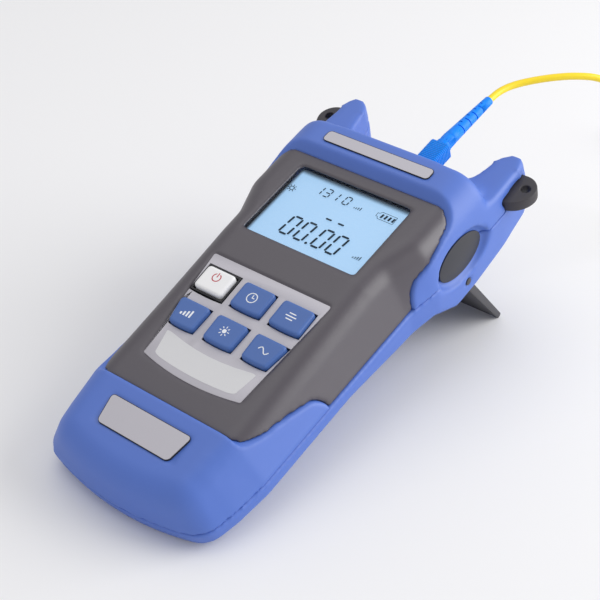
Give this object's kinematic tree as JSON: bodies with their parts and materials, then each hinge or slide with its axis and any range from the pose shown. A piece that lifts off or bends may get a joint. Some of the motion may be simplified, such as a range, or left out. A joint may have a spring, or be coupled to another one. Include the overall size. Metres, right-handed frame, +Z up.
{
  "type": "optical power meter",
  "caption": "Handheld optical power meter with a lit display and a keypad, standing on its rear stand with a fibre patch cord plugged into its port.",
  "frame": {"origin": "on the surface that the meter stands on, under the middle of the meter without its cord", "axes": "+Z up; +X to the meter's right as its display is read; +Y from the bottom end towards the connector end"},
  "size_m": [0.1629, 0.3629, 0.0871],
  "materials": {
    "blue_shell": "fine texture",
    "grey_panel": "fine texture",
    "dark_inlay": "satin",
    "soft_lug": "matt",
    "silver_plate": "satin silver",
    "blue_key": "satin",
    "white_key": "satin",
    "clear_window": "clear",
    "display_glass": "lit",
    "light_guide": "smooth",
    "circuit_board": "solder mask",
    "switch_plastic": "satin",
    "screw_steel": "satin",
    "detector_metal": "satin",
    "port_white": "smooth",
    "cell_wrap": "gloss",
    "plug_blue": "smooth",
    "boot_blue": "satin",
    "ceramic": "polished",
    "cord_yellow": "satin"
  },
  "bodies": {
    "meter": {"battery_cell_1": "cell_wrap", "battery_cell_2": "cell_wrap", "battery_cell_3": "cell_wrap", "battery_contacts": "screw_steel", "bottom_cap": "blue_shell", "bottom_nameplate": "silver_plate", "case_screws": "screw_steel", "cord_boot": "boot_blue", "cord_coil": "cord_yellow", "cord_lead": "cord_yellow", "cord_tail": "cord_yellow", "detector_module": "detector_metal", "display_window": "clear_window", "far_cord_boot": "boot_blue", "far_dust_cap": "port_white", "far_plug_body": "plug_blue", "far_plug_ferrule": "ceramic", "far_plug_grip": "plug_blue", "front_panel": "grey_panel", "keypad_overlay": "silver_plate", "lcd_backlight": "light_guide", "lcd_panel": "display_glass", "main_board": "circuit_board", "optical_adapter": "port_white", "plug_body": "plug_blue", "plug_ferrule": "ceramic", "plug_grip": "plug_blue", "power_key_frame": "dark_inlay", "rear_shell": "blue_shell", "side_inlay_left": "dark_inlay", "side_inlay_right": "dark_inlay", "strap_lug_left": "soft_lug", "strap_lug_right": "soft_lug", "tact_switches": "switch_plastic", "top_hood": "blue_shell", "top_nameplate": "silver_plate"},
    "power_key_body": {"power_key": "white_key"},
    "timer_key_body": {"timer_key": "blue_key"},
    "reference_key_body": {"reference_key": "blue_key"},
    "unit_key_body": {"unit_key": "blue_key"},
    "light_key_body": {"light_key": "blue_key"},
    "wavelength_key_body": {"wavelength_key": "blue_key"},
    "stand": {"kickstand": "grey_panel"},
    "door": {"battery_door": "blue_shell"}
  },
  "joints": [
    {"name": "power_key_press", "type": "slide", "parent": "meter", "child": "power_key_body", "axis": [0, 0.3609, -0.9326], "range_m": [0, 0.0009], "stiffness_N_per_m": 900, "springref_m": -0.0004},
    {"name": "timer_key_press", "type": "slide", "parent": "meter", "child": "timer_key_body", "axis": [0, 0.3609, -0.9326], "range_m": [0, 0.0009], "stiffness_N_per_m": 900, "springref_m": -0.0004},
    {"name": "reference_key_press", "type": "slide", "parent": "meter", "child": "reference_key_body", "axis": [0, 0.3609, -0.9326], "range_m": [0, 0.0009], "stiffness_N_per_m": 900, "springref_m": -0.0004},
    {"name": "unit_key_press", "type": "slide", "parent": "meter", "child": "unit_key_body", "axis": [0, 0.3609, -0.9326], "range_m": [0, 0.0009], "stiffness_N_per_m": 900, "springref_m": -0.0004},
    {"name": "light_key_press", "type": "slide", "parent": "meter", "child": "light_key_body", "axis": [0, 0.3609, -0.9326], "range_m": [0, 0.0009], "stiffness_N_per_m": 900, "springref_m": -0.0004},
    {"name": "wavelength_key_press", "type": "slide", "parent": "meter", "child": "wavelength_key_body", "axis": [0, 0.3609, -0.9326], "range_m": [0, 0.0009], "stiffness_N_per_m": 900, "springref_m": -0.0004},
    {"name": "stand_hinge", "type": "hinge", "parent": "meter", "child": "stand", "pos_m": [0, 0.05482, 0.03615], "axis": [-1, 0, 0], "range_deg": [0, 115.2]},
    {"name": "door_release", "type": "slide", "parent": "meter", "child": "door", "axis": [0, 0.2762, -0.9611], "range_m": [0, 0.0035]}
  ]
}
